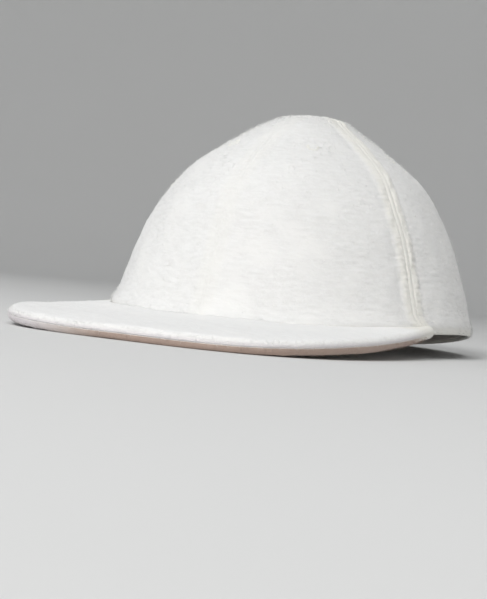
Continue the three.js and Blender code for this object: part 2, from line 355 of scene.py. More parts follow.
def wool(name, light, dark):
    """Napped wool: wavy streaks across the cloth, felted fibres and the tones that a piece's marks give,
    some of which are painted shade.
    """
    material, tree, shader = new_material(name, roughness=0.94, sheen=0.3)
    place = add_node(tree, "ShaderNodeTexCoord")
    cloth = place.outputs["UV"]
    solid = place.outputs["Object"]
    across = add_node(tree, "ShaderNodeMapping", {"Vector": cloth, "Scale": STREAK_SCALE}).outputs[0]
    fine = add_node(tree, "ShaderNodeMapping", {"Vector": cloth, "Scale": YARN_SCALE}).outputs[0]
    streaks = noise(tree, across, 1.0, detail=1.6, roughness=0.5, distortion=0.3)
    yarn = noise(tree, fine, 1.0, detail=2, roughness=0.6, distortion=0.3)
    felt = noise(tree, solid, FELT_SCALE, detail=4, roughness=0.7, distortion=0.6)
    fuzz = noise(tree, solid, FUZZ_SCALE, roughness=0.7)
    clouds = noise(tree, solid, CLOUD_SCALE, detail=2)
    shade = add_node(tree, "ShaderNodeMath", {0: streaks, 1: felt}, operation="ADD").outputs[0]
    colour = mix(tree, spread(tree, shade, *SHADE_RANGE), dark, light)
    cloud_tone = tuple(a + (b - a) * CLOUD_CREAM for a, b in zip(light, WOOL_CREAM))
    colour = mix(tree, spread(tree, clouds, *CLOUD_RANGE), colour, cloud_tone)
    # The marks paint their tones over the wool, among them painted shade round the peak's edge and at the
    # crown's foot.
    for mark, tone in MARK_TONES:
        share = add_node(tree, "ShaderNodeAttribute", attribute_name=mark).outputs["Fac"]
        colour = mix(tree, share, colour, tone)
    tree.links.new(colour, shader.inputs["Base Color"])
    add_bumps(tree, shader, [
        (streaks, *STREAK_BUMP), (yarn, *YARN_BUMP), (felt, *FELT_BUMP), (fuzz, *FUZZ_BUMP),
    ])
    return material


def twill(name, light, dark):
    """Plain twill: slanting ribs crossed by the weft, slightly uneven."""
    material, tree, shader = new_material(name, roughness=0.88, sheen=0.15)
    place = add_node(tree, "ShaderNodeTexCoord")
    cloth = place.outputs["UV"]
    solid = place.outputs["Object"]
    slant = {"Vector": cloth, "Rotation": (0, 0, math.radians(TWILL_SLANT))}
    turned = add_node(tree, "ShaderNodeMapping", slant).outputs[0]
    scale = 2 * math.pi / (TWILL_PITCH * MM) / WAVE_RADIANS
    rib_values = {"Vector": turned, "Scale": scale, "Distortion": 1.2, "Detail": 2.0, "Detail Scale": 1.5}
    ribs = add_node(tree, "ShaderNodeTexWave", rib_values, bands_direction="X").outputs["Fac"]
    weft_values = {"Vector": cloth, "Scale": scale * WEFT_TO_RIBS, "Distortion": 0.8}
    weft = add_node(tree, "ShaderNodeTexWave", weft_values, bands_direction="Y").outputs["Fac"]
    worn = noise(tree, solid, WORN_SCALE)
    lint = noise(tree, solid, LINT_SCALE, roughness=0.7)
    colour = mix(tree, spread(tree, ribs, *RIB_RANGE), dark, light)
    colour = mix(tree, spread(tree, worn, *WORN_RANGE), colour, light)
    tree.links.new(colour, shader.inputs["Base Color"])
    add_bumps(tree, shader, [(ribs, *RIB_BUMP), (weft, *WEFT_BUMP), (lint, *LINT_BUMP)])
    return material


def thread(name):
    """Spun thread: uneven, a little glossier than the wool."""
    material, tree, shader = new_material(name, roughness=0.72, sheen=0.2, specular=0.35)
    place = add_node(tree, "ShaderNodeTexCoord").outputs["Object"]
    strands = noise(tree, place, STRAND_SCALE, roughness=0.6)
    wear = noise(tree, place, WEAR_SCALE, detail=2)
    colour = mix(tree, spread(tree, strands, *STRAND_RANGE), THREAD_DARK, THREAD_LIGHT)
    colour = mix(tree, spread(tree, wear, *WEAR_RANGE), colour, WOOL_LIGHT)
    tree.links.new(colour, shader.inputs["Base Color"])
    add_bumps(tree, shader, [(strands, *STRAND_BUMP)])
    return material


wool_cloth = wool("ivory_wool", WOOL_LIGHT, WOOL_DARK)
# The peak's wool is the ivory wool painted brighter, as painted light on the peak's upper face.
peak_painted_bright_cloth = wool("peak_wool", PEAK_PAINTED_BRIGHT_LIGHT, PEAK_PAINTED_BRIGHT_DARK)
under_cloth = wool("under_wool", UNDER_LIGHT, UNDER_DARK)
band_cloth = twill("band_twill", BAND_LIGHT, BAND_DARK)
sewing_thread = thread("ivory_thread")


def dress(piece, material, slot, *nodes):
    """Gives a piece its material, attaches it to the root and hides the CAD nodes that it replaces. The
    slot is not used.
    """
    piece.data.materials.clear()
    piece.data.materials.append(material)
    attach(piece, "root")
    if nodes:
        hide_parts(*nodes)


# Camera: at the photograph's angle, with its tilt

AZIMUTH = 26.3937
ELEVATION = 0.5046
ROLL = -5.667
DISTANCE = 716.7
SHIFT = (-24.1007, 15.6068)  # millimetres aside and up, square to the line of sight
FOCAL_PX = 1400
LONG_SIDE_PX = 599
SENSOR = 36
NEAREST = 0.01  # metres


def add_camera():
    a, e, r = (math.radians(v) for v in (AZIMUTH, ELEVATION, ROLL))
    back = Vector((math.sin(a) * math.cos(e), -math.cos(a) * math.cos(e), math.sin(e)))
    right = Vector((math.cos(a), math.sin(a), 0))
    up = back.cross(right)
    rolled_right = right * math.cos(r) - up * math.sin(r)
    rolled_up = right * math.sin(r) + up * math.cos(r)
    place = rolled_right * SHIFT[0] + rolled_up * SHIFT[1] + back * DISTANCE
    data = bpy.data.cameras.new("camera")
    data.sensor_width = SENSOR
    data.lens = FOCAL_PX / LONG_SIDE_PX * SENSOR
    data.clip_start = NEAREST
    camera = bpy.data.objects.new("camera", data)
    bpy.context.scene.collection.objects.link(camera)
    turn = Matrix.Rotation(TIP, 3, "X")
    axes = Matrix([rolled_right, rolled_up, back]).transposed()
    camera.matrix_world = (turn @ axes).to_4x4()
    camera.location = to_world(tuple(place))
    bpy.context.scene.camera = camera


add_camera()


# Crown panels: an outside of closely set points, a turned hem and a plain inside

EYELET_SHARE = 0.46  # of the way across a panel from its seam nearer the front
PANELS = [  # name, from and to seam in degrees, share of the way to the eyelet, flat size in metres
    ("front_panel_left", 0, SIDE_SEAM, EYELET_SHARE, (0.110, 0.150)),
    ("side_panel_left", SIDE_SEAM, REAR_SEAM, EYELET_SHARE, (0.105, 0.150)),
    ("back_panel_left", REAR_SEAM, 180, EYELET_SHARE, (0.100, 0.150)),
    ("front_panel_right", -SIDE_SEAM, 0, 1 - EYELET_SHARE, (0.110, 0.150)),
    ("side_panel_right", -REAR_SEAM, -SIDE_SEAM, 1 - EYELET_SHARE, (0.105, 0.150)),
    ("back_panel_right", -180, -REAR_SEAM, 1 - EYELET_SHARE, (0.100, 0.150)),
]
PANEL_SEEDS = (40, 5)  # of the first panel, and the step to the next
CLOTH_APART = 37.0  # between the panels' cloth in the grain's pattern, for each seed
SEAM_APART = 700.0  # between a panel's two seams in the puckers' pattern
# Distances from a seam at which the cloth has a column of points
SEAM_COLUMNS = np.array([
    0.012, 0.2, 0.42, 0.7, 1.0, 1.25, 1.48, 1.68, 1.88, 2.1, 2.35, 2.7, 3.15, 3.7, 4.4, 5.2, 6.1, 7.2,
    8.5,
])
NARROW = 2.3  # seam detail is narrower where a panel is not this many times as wide as its reach
COLUMN_STEP = 1.1
ROW_STEP = 0.85
INNER_ROWS = 56
HEM_ROWS = 9
LENGTH_STEPS = 900
WIDTH_STEPS = 33
TIP_PLACE = LAST - 0.03

FRONT_STRENGTH = 0.5  # how much the front seam shows, as it is pressed flat and brushed over
RIDGE_HEIGHT = 0.34
RIDGE_HALF = 1.05
STITCH_ROW = 1.5  # how far each row of stitches is from its seam
STITCH_PITCH = 3.4
FRONT_PULL = 0.10  # how deep the row in front of a seam is pulled, and the row behind it
REAR_PULL = 0.17
PULL_HALF = 0.5
PULL_EVENNESS = 0.72
PAD_HEIGHT = 0.40  # of the cloth over the seam allowance, with its middle and half width
PAD_MIDDLE = 3.6
PAD_HALF = 2.1
DIP_DEPTH = 0.22  # beyond the allowance
DIP_MIDDLE = 7.2
DIP_HALF = 1.5
BUMP_HEIGHT = 0.13
BUMP_DRIFT = 0.9
BUMP_SIZES = (22, 30)
PUCKER_HEIGHT = 0.18
PUCKER_SIZES = (7, 8)
PUCKER_MIDDLE = 4.2
PUCKER_HALF = 2.2
BUMP_SEED = 30
PUCKER_SEED = 31
CROWN_WAVES = [  # height, sizes, distances from a seam over which they grow, how many waves
    (0.30, (46, 46, 46), (1, 12), FEW_WAVES),
    (0.10, (15, 15, 12), (1, 8), FEW_WAVES),
    (0.06, (9, 2.6), (0, 1.5), MANY_WAVES),
    (0.04, (3.4, 2.9), (0, 1.5), MANY_WAVES),
]
ALLOWANCE_HEIGHT = 0.35  # on the inside, with its middle and half width
ALLOWANCE_MIDDLE = 1
ALLOWANCE_HALF = 3.5

SEAM_TINT = 0.7
SEAM_TINT_REACH = 6.0
# Painted shade: a cream band along the crown's foot stands in for the warm shade where the crown meets the
# peak.
HEM_PAINTED_SHADE = 0.75
HEM_PAINTED_SHADE_REACH = 4.5
PLAIN_TINT = 0.08

EYELET_PLACE = 7.0
HOLE_RADIUS = 3.45
HOLE_SIDES = 36
HOLE_DEPTH = 5
EYELET_DIP = 0.14  # of the cloth drawn down round an eyelet, with its middle and half width
EYELET_DIP_AT = (3.6, 1.1)
EYELET_RISE = 0.06
EYELET_RISE_AT = (6.2, 1.6)


def along_panel(from_deg, to_deg):
    """Places up a panel's middle, and the length of cloth from the rim up to each."""
    places = np.linspace(0, TIP_PLACE, LENGTH_STEPS)
    line, _ = panel_point(from_deg, to_deg, np.full(LENGTH_STEPS, 0.5), places)
    steps = np.linalg.norm(np.diff(line, axis=0), axis=1)
    return places, np.concatenate([[0], np.cumsum(steps)])


def row_width(from_deg, to_deg, places):
    """Width of a panel's cloth at each place up it."""
    share = np.linspace(0, 1, WIDTH_STEPS)[None, :]
    points, _ = panel_point(from_deg, to_deg, share + 0 * places[:, None], places[:, None] + 0 * share)
    return np.linalg.norm(np.diff(points, axis=1), axis=2).sum(1)


def seam_shrink(widths):
    """How much narrower seam detail is made where the panel runs to a point."""
    return np.minimum(1, widths / (NARROW * SEAM_COLUMNS[-1]))


def seam_strength(degrees):
    return FRONT_STRENGTH if degrees == 0 else 1.0


def seam_relief(near, run, fade, pull):
    """The height of the cloth by a seam: a low ridge, a row of stitches and the padded allowance."""
    line = np.stack([run, near], -1)
    beat = 2 * math.pi * run / STITCH_PITCH
    pulls = PULL_EVENNESS + (1 - PULL_EVENNESS) * np.cos(beat)
    bumps = np.cos(beat + math.pi + BUMP_DRIFT * ripple(line, BUMP_SIZES, BUMP_SEED))
    puckers = ripple(line, PUCKER_SIZES, PUCKER_SEED)
    height = RIDGE_HEIGHT * swell(near, 0, RIDGE_HALF, 4)
    height -= pull * pulls * swell(near, STITCH_ROW, PULL_HALF)
    height += PAD_HEIGHT * swell(near, PAD_MIDDLE, PAD_HALF, 4)
    height -= DIP_DEPTH * swell(near, DIP_MIDDLE, DIP_HALF)
    rough = BUMP_HEIGHT * bumps + PUCKER_HEIGHT * puckers
    height += rough * swell(near, PUCKER_MIDDLE, PUCKER_HALF, 4)
    return height * fade


def panel_rows(from_deg, to_deg):
    """Rows of points down the outside, round the hem and up the inside. Each has the length of cloth
    from the rim up to it, its place, its inset from the outside and how far it is on the outside."""
    places, lengths = along_panel(from_deg, to_deg)
    total = lengths[-1]
    hem_half = HEM_WALL / 2
    outer_runs = np.linspace(total, hem_half, int(total / ROW_STEP))
    inner_runs = np.linspace(hem_half, total, INNER_ROWS)
    turn = np.linspace(0, math.pi, HEM_ROWS + 2)[1:-1]
    runs = np.concatenate([outer_runs, hem_half * (1 - np.sin(turn)), inner_runs])
    at = np.interp(runs, lengths, places)
    inset = np.concatenate([0 * outer_runs, hem_half * (1 - np.cos(turn)), wall_at(at[-INNER_ROWS:])])
    turned_out = np.clip(1 - turn / (0.5 * math.pi), 0, 1)
    outside = np.concatenate([1 + 0 * outer_runs, turned_out, 0 * inner_runs])
    return runs, at, inset, outside, len(outer_runs) + HEM_ROWS // 2


def panel_columns(widths):
    """Distances of the columns from a panel's first seam, row by row: close together by both seams."""
    near = SEAM_COLUMNS[None, :] * seam_shrink(widths)[:, None]
    middles = int((widths.max() - 2 * SEAM_COLUMNS[-1]) / COLUMN_STEP)
    inner_share = np.linspace(0, 1, middles + 2)[None, 1:-1]
    span = widths - 2 * near[:, -1]
    middle = near[:, -1:] + span[:, None] * inner_share
    return np.concatenate([near, middle, widths[:, None] - near[:, ::-1]], 1)


def panel_faces(rows, columns, at, hem_row):
    """The loop of cloth, closed at the tip, and the walls that join outside and inside at both seams."""
    faces = [grid_faces(rows, columns, closed=True)]
    down = -at
    for column, flipped in ((0, False), (columns - 1, True)):
        outer_chain = [i * columns + column for i in range(hem_row + 1)]
        inner_chain = [i * columns + column for i in range(rows - 1, hem_row - 1, -1)]
        strips = zip_faces(outer_chain, inner_chain, down[: hem_row + 1], down[hem_row:][::-1])
        strips = [f for f in strips if len(set(f)) == 3]
        faces.append([f[::-1] for f in strips] if flipped else strips)
    return faces


def crown_panel(name, from_deg, to_deg, eyelet_share, seed):
    """Makes one panel and gives the middle of its eyelet and the way that it faces."""
    runs, at, inset, outside, hem_row = panel_rows(from_deg, to_deg)
    widths = row_width(from_deg, to_deg, at)[:, None]
    distance = panel_columns(widths[:, 0])
    place = at[:, None] + 0 * distance
    base, angle = panel_point(from_deg, to_deg, distance / widths, place)

    shrink = seam_shrink(widths)
    from_seam = np.minimum(distance, widths - distance) / shrink
    run = runs[:, None] + 0 * distance
    starts = distance < widths / 2
    strength = np.where(starts, seam_strength(from_deg), seam_strength(to_deg))
    in_front = starts == (from_deg < 0)
    pull = np.where(in_front, FRONT_PULL, REAR_PULL)
    pattern_run = run + np.where(starts, 0, SEAM_APART)
    relief = seam_relief(from_seam, pattern_run, shrink**0.5, pull) * strength

    spot = np.array([[float(eyelet_share)]]), np.array([[EYELET_PLACE]])
    eyelet_point, eyelet_angle = panel_point(from_deg, to_deg, *spot)
    away = np.linalg.norm(base - eyelet_point[0, 0], axis=-1)
    relief -= EYELET_DIP * swell(away, *EYELET_DIP_AT)
    relief += EYELET_RISE * swell(away, *EYELET_RISE_AT)
    sheet = np.stack([distance - widths / 2, run], -1)
    for index, (height, sizes, grows, waves) in enumerate(CROWN_WAVES):
        over = base if len(sizes) == 3 else sheet
        relief += height * ripple(over, sizes, seed + index, waves) * smooth(from_seam, *grows)

    inset, outside = inset[:, None], outside[:, None]
    allowance = ALLOWANCE_HEIGHT * swell(from_seam, ALLOWANCE_MIDDLE, ALLOWANCE_HALF) * (1 - outside)
    offset = outside * relief - inset - allowance * (inset > 0)
    points = base + outward(angle, place) * offset[..., None]
    faces = panel_faces(*distance.shape, at, hem_row)
    tint = SEAM_TINT * strength**2 * swell(from_seam, 0, SEAM_TINT_REACH, 6) + PLAIN_TINT
    # The seams' cream is the cloth's own. The band along the rim is painted shade.
    marks = {"tint": np.maximum(tint, HEM_PAINTED_SHADE * swell(run, 0, HEM_PAINTED_SHADE_REACH, 4))}
    uv = sheet.reshape(-1, 2) + (seed * CLOTH_APART, 0)
    piece = make_piece(name + "_cloth", points.reshape(-1, 3), faces, uv, marks, smooth_faces=len(faces[0]))

    facing = outward(eyelet_angle, spot[1])[0, 0]
    centre = eyelet_point[0, 0] - facing * WALL / 2
    cut_hole(piece, centre, facing)
    dress(piece, wool_cloth, "wool_cloth", name)
    return centre, facing


def ring_axes(facing):
    """Two directions square to the way that an eyelet faces and to each other."""
    u = unit(np.cross(facing, (0, 0, 1)))
    return u, np.cross(facing, u)


def cut_hole(piece, centre, facing):
    ring = np.linspace(0, 2 * math.pi, HOLE_SIDES, endpoint=False)
    u, v = ring_axes(facing)
    circle = HOLE_RADIUS * (np.cos(ring)[:, None] * u + np.sin(ring)[:, None] * v)
    ends = [centre + circle + facing * HOLE_DEPTH, centre + circle - facing * HOLE_DEPTH]
    walls = grid_faces(2, HOLE_SIDES, ring=True)
    caps = [[range(HOLE_SIDES)[::-1]], [range(HOLE_SIDES, 2 * HOLE_SIDES)]]
    cutter = make_piece("cutter", np.concatenate(ends), [walls, *caps], above_floor=False)
    hole = piece.modifiers.new("hole", "BOOLEAN")
    hole.operation = "DIFFERENCE"
    hole.solver = "EXACT"
    hole.object = cutter
    apply_modifiers(piece)
    bpy.data.objects.remove(cutter)


# Sewn eyelets: thread wound through the hole and over its edge

WRAPS = 30
WRAP_STEPS = 6
RING_STEPS = 16
EYELET_MIDDLE = 2.4
EYELET_HALF = 1.2
EYELET_THICKNESS = 1.35
BETWEEN_WRAPS = 0.80  # of the full thickness
WRAP_ROUNDNESS = 0.6
WRAP_UNEVENNESS = 0.05
WRAP_SLIDE = 0.10
MIDDLE_THICKNESS = 0.9
WRAP_SPREAD = 0.5


def eyelet(name, centre, facing, seed):
    rng = np.random.default_rng(SEED * 100 + seed)
    turns = np.linspace(0, 2 * math.pi, WRAPS * WRAP_STEPS, endpoint=False)
    wrap = np.arange(len(turns)) // WRAP_STEPS
    within = np.abs(np.sin(turns * WRAPS / 2))
    thickness = BETWEEN_WRAPS + (1 - BETWEEN_WRAPS) * within**WRAP_ROUNDNESS
    thickness += WRAP_UNEVENNESS * rng.normal(size=WRAPS)[wrap]
    slide = WRAP_SLIDE * rng.normal(size=WRAPS)[wrap]
    ring = np.linspace(0, 2 * math.pi, RING_STEPS, endpoint=False)
    u, v = ring_axes(facing)
    spoke = np.cos(turns)[:, None] * u + np.sin(turns)[:, None] * v
    wave = 1 + WRAP_SPREAD * (thickness - MIDDLE_THICKNESS)
    out = EYELET_MIDDLE + slide[:, None] + EYELET_HALF * wave[:, None] * np.cos(ring)[None, :]
    high = EYELET_THICKNESS * thickness[:, None] * np.sin(ring)[None, :]
    points = centre + spoke[:, None, :] * out[..., None] + facing * high[..., None]
    faces = grid_faces(*out.shape, ring=True, closed=True)
    piece = make_piece(name + "_thread", points.reshape(-1, 3), [faces])
    dress(piece, sewing_thread, "eyelet_thread", name)


for index, (name, from_deg, to_deg, share, flat) in enumerate(PANELS):
    seed = PANEL_SEEDS[0] + PANEL_SEEDS[1] * index
    centre, facing = crown_panel(name, from_deg, to_deg, share, seed)
    eyelet("eyelet_" + name.replace("_panel", ""), centre, facing, index)


# Rows of stitches beside each seam, two to a seam, sunk in the cloth

STITCH_LENGTH = 2.5
STITCH_START = 1.5  # pitches up from the rim
BELOW_TIP = 9
STITCH_DRIFT = 0.12  # along the row, and aside
STITCH_SWAY = 0.07
STITCH_DEPTH = 0.26  # of a stitch's middle, with the further depth of its ends
STITCH_END_DEPTH = 0.42
DEPTH_DRIFT = 0.04
STITCH_SEED = 11
THREAD_RADIUS = 0.24
THREAD_PROFILE = np.array([0.55, 0.95, 1.0, 0.95, 0.55])
TUBE_SIDES = 6
OFF_AXIS = np.array((0.31, 0.2, 0.93))  # a direction along which no stitch or fibre lies


def tubes(lines, radius, sides=TUBE_SIDES):
    """Points and faces of short closed tubes along lines of shape (tubes, rings, 3)."""
    count, rings, _ = lines.shape
    along = unit(np.gradient(lines, axis=1))
    aside = unit(np.cross(along, OFF_AXIS))
    other = np.cross(along, aside)
    turn = np.linspace(0, 2 * math.pi, sides, endpoint=False)
    profile = np.broadcast_to(radius, (count, rings))[..., None, None]
    ring = np.cos(turn)[:, None] * aside[..., None, :] + np.sin(turn)[:, None] * other[..., None, :]
    points = lines[:, :, None, :] + profile * ring
    start = np.arange(count)[:, None, None] * rings * sides
    quads = start + grid_faces(rings, sides, ring=True)[None]
    first = start[:, 0, :] + np.arange(sides)[None, ::-1]
    last = start[:, 0, :] + (rings - 1) * sides + np.arange(sides)[None, :]
    return points.reshape(-1, 3), [quads.reshape(-1, 4), first, last]


def seam_stitches():
    rng = np.random.default_rng(SEED + STITCH_SEED)
    share = np.linspace(-0.5, 0.5, len(THREAD_PROFILE))[None, :]
    lines = []
    for _, from_deg, to_deg, _, _ in PANELS:
        places, lengths = along_panel(from_deg, to_deg)
        middles = np.arange(STITCH_PITCH * STITCH_START, lengths[-1] - BELOW_TIP, STITCH_PITCH)[:, None]
        for at_end in (False, True):
            runs = middles + share * STITCH_LENGTH + STITCH_DRIFT * rng.normal(size=middles.shape)
            at = np.interp(runs, lengths, places)
            widths = row_width(from_deg, to_deg, at.ravel()).reshape(at.shape)
            aside = STITCH_ROW * seam_shrink(widths) + STITCH_SWAY * rng.normal(size=middles.shape)
            across = 1 - aside / widths if at_end else aside / widths
            base, angle = panel_point(from_deg, to_deg, across, at)
            sunk = STITCH_DEPTH + STITCH_END_DEPTH * np.abs(2 * share) ** 3
            sunk = DEPTH_DRIFT * rng.normal(size=middles.shape) - sunk
            lines.append(base + outward(angle, at) * sunk[..., None])
    points, faces = tubes(np.concatenate(lines), THREAD_RADIUS * THREAD_PROFILE)
    piece = make_piece("seam_stitches", points, faces)
    dress(piece, sewing_thread, "eyelet_thread")


seam_stitches()


# Peak: two cloth-covered halves of one plate, each a loop of points along rays from the crown out

PEAK_LENGTH = 67
PEAK_HALF = 87.4
PEAK_WIDEST = -34
PEAK_POWER = 2 / 3.35
PEAK_NOSE = 8.6  # depth of the round ends beside the crown
PEAK_CENTRE = -60
PEAK_AT_CROWN = 5.3  # height of the upper face above the rim, at the front
PEAK_DROOP = math.radians(3.8)
PEAK_BEND = 1.6
PEAK_SIDE_FALL = 2.1
PEAK_SAG = 3.3  # the wearer's right side lies that much lower where it meets the crown
TOP_THICKNESS = 3.0
UNDER_THICKNESS = 3.4
HALVES_GAP = 0.03
EDGE_BAND = 0.4  # upright part of each half's edge
TOP_ROUND = 4.0
UNDER_ROUND = 3.0
HIDDEN_ROUND = 0.05  # at the corner where the halves meet
TOP_NOSE_ROUND = 3.0
UNDER_NOSE_ROUND = 7.0
NOSE_FROM_TO = (90, 102)  # degrees round the peak's centre from the front
PEAK_RAYS = 420
FACE_STEPS = 52
HIDDEN_STEPS = 18
STEPS_POWER = 1.8  # steps are closer together towards the edge
OUTLINE_STEPS = 6001
CROWN_STEPS = 901
CROWN_ANGLES = (-150, 150)  # degrees from the front between which the peak can meet the crown
CROWN_SEARCH = 3.0  # sections up from the rim
HALVINGS = 30
CROWN_GAP = 0.1
SHOWS_BEYOND = 0.4

PEAK_WAVES = [  # height, sizes, how many waves
    (0.11, (38, 38), FEW_WAVES), (0.05, (11, 9), FEW_WAVES),
    (0.03, (9, 2.8), MANY_WAVES), (0.03, (3.3, 3), MANY_WAVES),
]
EDGE_WAVE = 0.06
EDGE_WAVE_SIZES = (7, 7)
CALM_WITHIN = 1.5  # of the edge the face is even
PEAK_TINT = 0.05
EDGE_TINT = 0.25
EDGE_TINT_REACH = 1.6
VALLEY_PAINTED_SHADE = 0.8  # painted shade: the upper half darkens down its rolled edge to the seam between the halves
VALLEY_FROM = 0.7  # millimetres down its edge
SHADED_BAND = (3.4, 9)  # the edge's painted shade fades out this far under the peak
SIDE_GREY = 0.95
GREY_SIDE = (0, 50)  # millimetres to the wearer's right


def peak_height(x, y):
    """Height of the peak's upper face: it droops to the front and sags to the wearer's right."""
    ahead = -y - RIM_FRONT
    side = (x / PEAK_HALF) ** 2
    sag = np.where(x < 0, PEAK_SAG * side * ahead / (PEAK_WIDEST + RIM_FRONT), 0)
    fall = math.tan(PEAK_DROOP) * ahead + PEAK_BEND * ahead * np.abs(ahead) / PEAK_LENGTH**2
    return PEAK_AT_CROWN - fall - PEAK_SIDE_FALL * side + sag


def outline_point(turn):
    """The peak's outline, a rounded shape that is deep in front and shallow behind its widest."""
    depth = np.where(np.cos(turn) > 0, PEAK_WIDEST + RIM_FRONT + PEAK_LENGTH, PEAK_NOSE)
    x = PEAK_HALF * np.sign(np.sin(turn)) * np.abs(np.sin(turn)) ** PEAK_POWER
    y = PEAK_WIDEST - depth * np.sign(np.cos(turn)) * np.abs(np.cos(turn)) ** PEAK_POWER
    return x, y


def polar(x, y):
    """Direction from the front and distance, seen from the peak's centre."""
    return np.arctan2(x, -(y - PEAK_CENTRE)), np.hypot(x, y - PEAK_CENTRE)


def crown_reach(depth):
    """How far the crown's outside is from the peak's centre at a level of the plate, by direction."""
    angle = np.radians(np.linspace(*CROWN_ANGLES, CROWN_STEPS))
    low, high = np.zeros_like(angle), np.full_like(angle, CROWN_SEARCH)
    for _ in range(HALVINGS):
        middle = (low + high) / 2
        x, y, z = np.moveaxis(round_point(angle, middle), -1, 0)
        above = z > peak_height(x, y) - depth
        high = np.where(above, middle, high)
        low = np.where(above, low, middle)
    edge = round_point(angle, low) + outward(angle, low) * CROWN_GAP
    return polar(edge[:, 0], edge[:, 1])


def side_grey(x):
    """How far the painted shade along the lower edge is grey and not warm brown: it turns grey towards the
    wearer's right.
    """
    return SIDE_GREY * smooth(-x, *GREY_SIDE)


def edge_line(levels, shares):
    """Direction and distance from the peak's centre, at shares of the length of its free edge."""
    x, y = outline_point(np.linspace(-math.pi, math.pi, OUTLINE_STEPS))
    direction, distance = polar(x, y)
    reach = [np.interp(direction, *crown_reach(level)) for level in levels]
    shows = distance > np.maximum(*reach) + SHOWS_BEYOND
    direction, distance, x, y = (v[shows] for v in (direction, distance, x, y))
    walked = np.concatenate([[0], np.cumsum(np.hypot(np.diff(x), np.diff(y)))])
    even = shares * walked[-1]
    return np.interp(even, walked, direction), np.interp(even, walked, distance)


def rounded_fall(inset, reach, fall):
    """How far a rounded edge has fallen, from nothing at its reach in from the edge to the whole."""
    curve = np.clip(1 - inset / reach, 0, 1)
    return fall * (1 - np.sqrt(np.maximum(1 - curve**2, 0)))


def peak_half(name, top, thickness, rounding, nose_rounding, rounds_up, seed):
    """One half of the plate, from top to top + thickness below the peak's surface."""
    levels = [top, top + thickness]
    direction, distance = edge_line(levels, np.linspace(0, 1, PEAK_RAYS))
    reach = [np.interp(direction, *crown_reach(level)) for level in levels]
    shown_reach, hidden_reach = reach if rounds_up else reach[::-1]

    drop = thickness - EDGE_BAND
    shares = np.linspace(0, 1, FACE_STEPS) ** STEPS_POWER
    hidden_shares = np.linspace(0, 1, HIDDEN_STEPS) ** STEPS_POWER
    shown = (distance - shown_reach)[:, None] * shares
    hidden = (distance - hidden_reach)[:, None] * hidden_shares
    at_nose = smooth(np.abs(np.degrees(direction)), *NOSE_FROM_TO)[:, None]
    shown_fall = rounded_fall(shown, rounding + (nose_rounding - rounding) * at_nose, drop)[:, ::-1]
    hidden_fall = rounded_fall(hidden, HIDDEN_ROUND, HIDDEN_ROUND)
    if rounds_up:
        depth = np.concatenate([top + shown_fall, top + thickness - hidden_fall], 1)
    else:
        depth = np.concatenate([top + thickness - shown_fall, top + hidden_fall], 1)

    inset = np.concatenate([shown[:, ::-1], hidden], 1)
    aside, ahead = np.sin(direction)[:, None], np.cos(direction)[:, None]
    out = distance[:, None] - inset
    px, py = out * aside, PEAK_CENTRE - out * ahead
    sheet = np.stack([px, py], -1)
    shown_part = np.concatenate([np.ones(FACE_STEPS), np.zeros(HIDDEN_STEPS)])[None, :]
    relief = sum(height * ripple(sheet, sizes, seed + index, waves)
                 for index, (height, sizes, waves) in enumerate(PEAK_WAVES))
    calm = smooth(inset, 0, CALM_WITHIN)
    pz = peak_height(px, py) - depth + (1 if rounds_up else -1) * relief * shown_part * calm
    edge_wave = EDGE_WAVE * ripple(sheet, EDGE_WAVE_SIZES, seed + len(PEAK_WAVES))
    edge_wave = edge_wave * (1 - calm) * shown_part
    points = np.stack([px + edge_wave * aside, py - edge_wave * ahead, pz], -1)

    rows, columns = out.shape
    faces = [grid_faces(rows, columns, ring=True, flip=rounds_up)]
    for row, flipped in ((0, rounds_up), (rows - 1, not rounds_up)):
        shown_chain = [row * columns + j for j in range(FACE_STEPS)][::-1]
        hidden_chain = [row * columns + FACE_STEPS + j for j in range(HIDDEN_STEPS)]
        strips = zip_faces(shown_chain, hidden_chain, shares, hidden_shares)
        faces.append([f[::-1] for f in strips] if flipped else strips)

    marks = {"tint": PEAK_TINT + EDGE_TINT * swell(inset, 0, EDGE_TINT_REACH) * shown_part}
    marks["nose"] = at_nose + 0 * inset
    if rounds_up:
        fallen = np.concatenate([shown_fall, drop + 0 * hidden], 1)
        # Painted shade down the upper half's rolled edge.
        marks["edge"] = VALLEY_PAINTED_SHADE * smooth(fallen, VALLEY_FROM, drop)
    else:
        # Painted shade along the underside's edge: warm brown shade with reflected warm light, turning grey
        # towards the wearer's right.
        near_edge = (1 - smooth(inset, *SHADED_BAND)) * shown_part
        greys = side_grey(px + edge_wave * aside)
        marks["edge"] = near_edge * greys
        marks["painted_warm_shade"] = near_edge * (1 - greys)
    return make_piece(name + "_cloth", points.reshape(-1, 3), faces, sheet.reshape(-1, 2), marks)


HALVES = [  # name, material, slot, top, thickness, rounding, rounding of the ends, faces up, seed
    ("peak_top", peak_painted_bright_cloth, "wool_cloth", 0, TOP_THICKNESS, TOP_ROUND, TOP_NOSE_ROUND, True, 300),
    ("peak_underside", under_cloth, "under_cloth", TOP_THICKNESS + HALVES_GAP, UNDER_THICKNESS,
     UNDER_ROUND, UNDER_NOSE_ROUND, False, 320),
]
for name, material, slot, *shape in HALVES:
    piece = peak_half(name, *shape)
    dress(piece, material, slot, name)


# Sweatband

BAND_GAP = 0.8
BAND_WALL = 1.2
BAND_FROM = 0.3  # in sections up from the rim
BAND_TO = 3.3
BAND_COLUMNS = 360
BAND_STEPS = 22
FOLD_ROWS = 6
FOLD_BULGE = 0.012  # of the band's height, at its rounded edges
BAND_RADIUS = 95  # for lengths of cloth round the band
BAND_SECTION = 12  # millimetres of cloth to a section
BAND_WAVE = 0.18
BAND_WAVE_SIZES = (30, 30, 22)
BAND_SEED = 401
BAND_ROW = 0.12  # of the band's height, where a row of stitches draws it in
BAND_ROW_HALF = 0.03
BAND_ROW_DEPTH = 0.18
BAND_ROW_EVENNESS = 0.6
BAND_STITCH_TURN = 2.4  # radians to the millimetre


